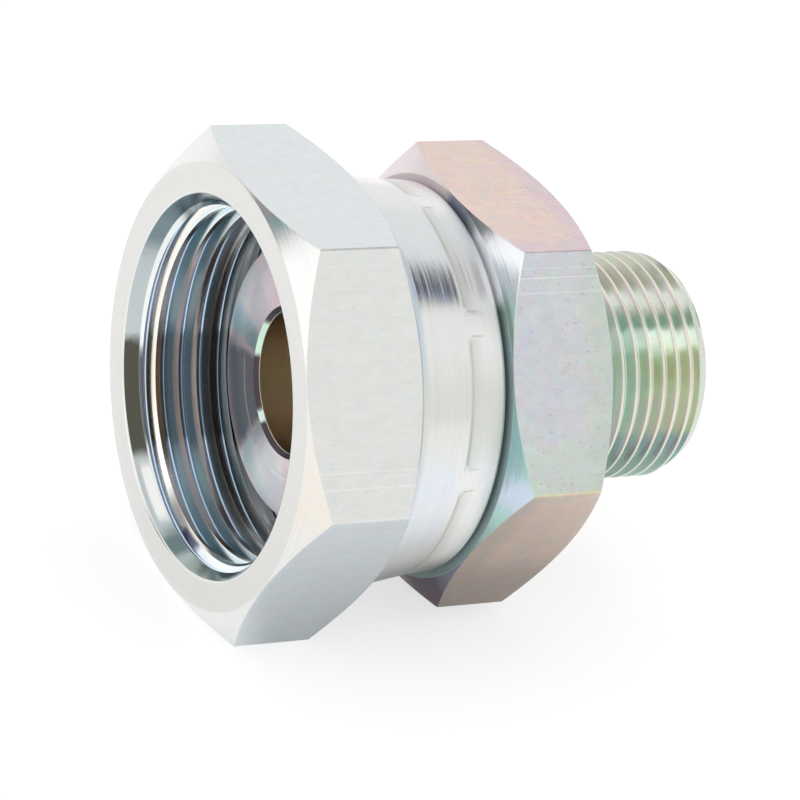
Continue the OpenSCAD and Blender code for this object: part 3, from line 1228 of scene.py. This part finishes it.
    def cut(self) -> Plating:
        """Finish of the stud's thread, with painted highlights on its crests and in its valleys and a
        painted dark streak.
        """
        return Plating("passivated_thread", Zone.CUT, (205, 212, 200), (
            # Light sectors are painted highlights, and the dark green one is a painted reflection of the
            # dark card.
            *sectors(
                ((202, 205, 188), 0.9, (88, 14, 12)),
                ((239, 243, 236), 1.0, (112, 6, 8)),
                ((180, 199, 184), 1.0, (126, 4, 5)),
                ((246, 254, 244), 1.0, (138, 7, 6)),
                ((204, 217, 188), 1.0, (155, 12, 8)),
            ),
            Wash((188, 180, 160), 0.35, (153, 6, 8), along=(7, 20, 6)),
            Wash((202, 208, 192), 0.8, (178, 12, 10)),
            Wash((184, 210, 200), 0.6, (165, 40, 30), along=(0, 7, 4)),
            Wash((216, 222, 196), 0.4, (168, 24, 20), along=(10.5, 20, 4)),
            *sectors(((175, 196, 195), 0.8, (199, 8, 10)), ((184, 224, 212), 0.8, (222, 16, 14))),
            # Cream crests: painted highlight.
            Wash((236, 228, 214), 0.85, out=(self.stud_r - 0.06, self.stud_r + 1, 0.07), exact=True),
        ), 0.18, Marks(0.01, 2.0, 0.004, 0.05), 0.1)

    def hollow(self) -> Plating:
        """Finish of the nose's face and the bore, with a painted dark reflection on the face and a dark
        bore chamfer of painted reflection with painted highlights.
        """
        bore = (0, self.bore_r + 0.04, 0.05)
        return Plating("passivated_hollow", Zone.INNER, (236, 208, 211), (
            # The grey wedge at -35 degrees is a painted reflection; the other sectors are the film's tints.
            *sectors(
                ((214, 198, 200), 0.8, (24, 12, 12)),
                ((180, 192, 195), 1.0, (2, 7, 10)),
                ((144, 137, 143), 1.0, (-35, 24, 9)),
                ((196, 212, 206), 0.8, (-66, 3, 8)),
                ((250, 232, 233), 1.0, (-92, 18, 14)),
            ),
            # A light ring in that wedge: painted highlight of the groove.
            Wash((210, 206, 212), 0.9, (-38, 22, 8), out=(10.9, 11.1, 0.08)),
            *sectors(((225, 217, 206), 1.0, None), ((196, 204, 170), 0.35, (-28, 18, 20)), out=bore),
            # Bore chamfer: dark as a painted reflection, with two painted highlights.
            *sectors(
                ((80, 71, 74), 1.0, None),
                ((206, 236, 214), 1.0, (8, 16, 6)),
                ((216, 236, 228), 1.0, (-58, 6, 6)),
                out=(self.bore_r + 0.04, self.bore_r + self.bore_chamfer + 0.05, 0.05),
            ),
        ), 0.2, Marks(0.012, 2.2, 0.004, 0.06), 0.07)


def dress(
    name: str, mesh: bmesh.types.BMesh, body: str, node: str,
    materials: Sequence[bpy.types.Material],
) -> bpy.types.Object:
    """Turn a carved mesh into a finished piece on its body.

    Args:
        name: name of the piece.
        mesh: its mesh in millimetres.
        body: the CAD body that it moves with.
        node: the CAD node that it stands for.
        materials: one material for each zone.

    Returns:
        The finished piece.
    """
    piece = mesh_object(name, mesh, MM)
    coat(piece, materials)
    piece.data.shade_smooth()
    piece.data.set_sharp_from_angle(angle=SHARP_EDGE)
    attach(piece, body)
    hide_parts(node)
    return piece


@dataclass(frozen=True)
class Card:
    """A patch of the studio that is brighter or darker than the rest.

    Args:
        towards: direction of its middle.
        spread: angle from its middle to its edge, in degrees.
        softness: width of the edge, in degrees.
        level: brightness inside.
    """
    towards: Direction
    spread: float
    softness: float
    level: float


@dataclass(frozen=True)
class Studio:
    """Camera, floor and light, at the photograph's angle.

    Args:
        place: place of the camera, in millimetres.
        right: direction to the right of the picture.
        up: direction to its top.
        forward: direction in which the camera looks.
        lens: focal length, in millimetres.
        sensor: width of the sensor, in millimetres.
        clip: nearest and furthest distance that the camera sees, in metres.
        room: brightness of the room.
        cards: its brighter and darker patches, each over the ones before it.
        floor_size: half the floor's width, in metres.
        floor_grey: how much light the floor gives back.
        floor_glow: what is added so that it looks white.
        floor_dim: what is taken from that under the piece, in what mirrors it, as a painted shadow.
        beside: distances from the axis at which that dim patch starts and is full, in metres.
        before: places along the axis at which it starts and is full.
        beyond: places along the axis at which it ends and is still full.
        bounces: glossy bounces, enough to light the threads.
    """
    place: Direction = (-225.44, -325.482, 200.27)
    right: Direction = (0.877, -0.43586, 0.20226)
    up: Direction = (0.05227, 0.50497, 0.86155)
    forward: Direction = (0.47765, 0.745, -0.46564)
    lens: float = 172.949
    sensor: float = 36
    clip: tuple[float, float] = (0.01, 20)
    room: float = 0.95
    cards: tuple[Card, ...] = (
        Card((0.58, -0.05, 0.81), 10.4, 4.4, 0.03),
        Card((-0.97, 0.15, 0.12), 24, 3, 1.25),
        Card((-0.75, 0.64, 0.22), 9, 4, 0.28),
    )
    floor_size: float = 4
    floor_grey: float = 0.5
    floor_glow: float = 0.62
    floor_dim: float = 0.4
    beside: tuple[float, float] = (0.036, 0.01)
    before: tuple[float, float] = (-0.042, -0.034)
    beyond: tuple[float, float] = (0.016, 0.0)
    bounces: int = 12

    def camera(self) -> None:
        """Create the camera and make it the scene's own."""
        data = bpy.data.cameras.new("camera")
        data.lens = self.lens
        data.sensor_width = self.sensor
        data.clip_start, data.clip_end = self.clip
        camera = bpy.data.objects.new("camera", data)
        axes = Matrix((Vector(self.right), Vector(self.up), -Vector(self.forward))).transposed()
        camera.matrix_world = Matrix.Translation(Vector(self.place) * MM) @ axes.to_4x4()
        bpy.context.scene.collection.objects.link(camera)
        bpy.context.scene.camera = camera

    def floor(self, level: float) -> None:
        """Create the pale floor that the piece lies on."""
        mesh = bmesh.new()
        bmesh.ops.create_grid(mesh, x_segments=1, y_segments=1, size=self.floor_size)
        bmesh.ops.translate(mesh, vec=(0, 0, level), verts=mesh.verts[:])
        floor = mesh_object("floor", mesh)
        material = bpy.data.materials.new("floor_white")
        material.use_nodes = True
        graph = Graph(material.node_tree)
        diffuse = graph.add("BsdfDiffuse")
        diffuse.inputs["Color"].default_value = (*[self.floor_grey] * 3, 1)
        x, y, _ = graph.split(graph.add("TexCoord").outputs["Object"])
        # A painted shadow under the piece, seen only where the floor is mirrored.
        beside = graph.ease(graph.math("ABSOLUTE", y), *self.beside)
        under = graph.times(beside, graph.times(graph.ease(x, *self.before), graph.ease(x, *self.beyond)))
        open_floor = graph.math("MULTIPLY_ADD", under, -self.floor_dim, self.floor_glow)
        light = graph.add("LightPath")
        seen = graph.times(light.outputs["Is Camera Ray"], self.floor_glow)
        mirrored = graph.times(light.outputs["Is Glossy Ray"], open_floor)
        lift = graph.add("Emission")
        graph.put(lift.inputs["Strength"], graph.math("ADD", seen, mirrored))
        both = graph.fill(graph.add("AddShader"), diffuse.outputs[0], lift.outputs[0])
        graph.fill(graph.add("OutputMaterial"), both.outputs[0])
        floor.data.materials.append(material)

    def world(self) -> None:
        """Light the piece from a pale room with a few cards in it."""
        world = bpy.data.worlds.new("studio")
        bpy.context.scene.world = world
        world.use_nodes = True
        graph = Graph(world.node_tree)
        direction = graph.add("TexCoord").outputs["Generated"]
        level: object = self.room
        for card in self.cards:
            near = graph.dot(direction, Vector(card.towards).normalized())
            edge = [math.cos(math.radians(card.spread + side * card.softness)) for side in (1, -1)]
            share = graph.ease(near, *edge)
            level = graph.math("ADD", graph.times(share, card.level), graph.times(graph.rest(share), level))
        level = graph.math("MAXIMUM", level, graph.add("LightPath").outputs["Is Camera Ray"])
        background = graph.add("Background")
        background.inputs["Color"].default_value = (1, 1, 1, 1)
        graph.put(background.inputs["Strength"], level)
        graph.fill(graph.add("OutputWorld"), background.outputs[0])

    def build(self) -> None:
        """Set the whole studio up."""
        self.camera()
        self.floor(box_mm("swivel_nut")[0].z * MM)
        self.world()
        bpy.context.scene.view_settings.view_transform = "Standard"
        bpy.context.scene.cycles.glossy_bounces = self.bounces


def main() -> None:
    """Build the pieces and the studio, and report each."""
    logging.basicConfig(level=logging.INFO, format="%(message)s")
    Studio().build()
    for assembly in (SwivelNut(), StudBody()):
        piece = assembly.build()
        LOG.info("%s: %d faces", piece.name, len(piece.data.polygons))


if __name__ == "__main__":
    main()
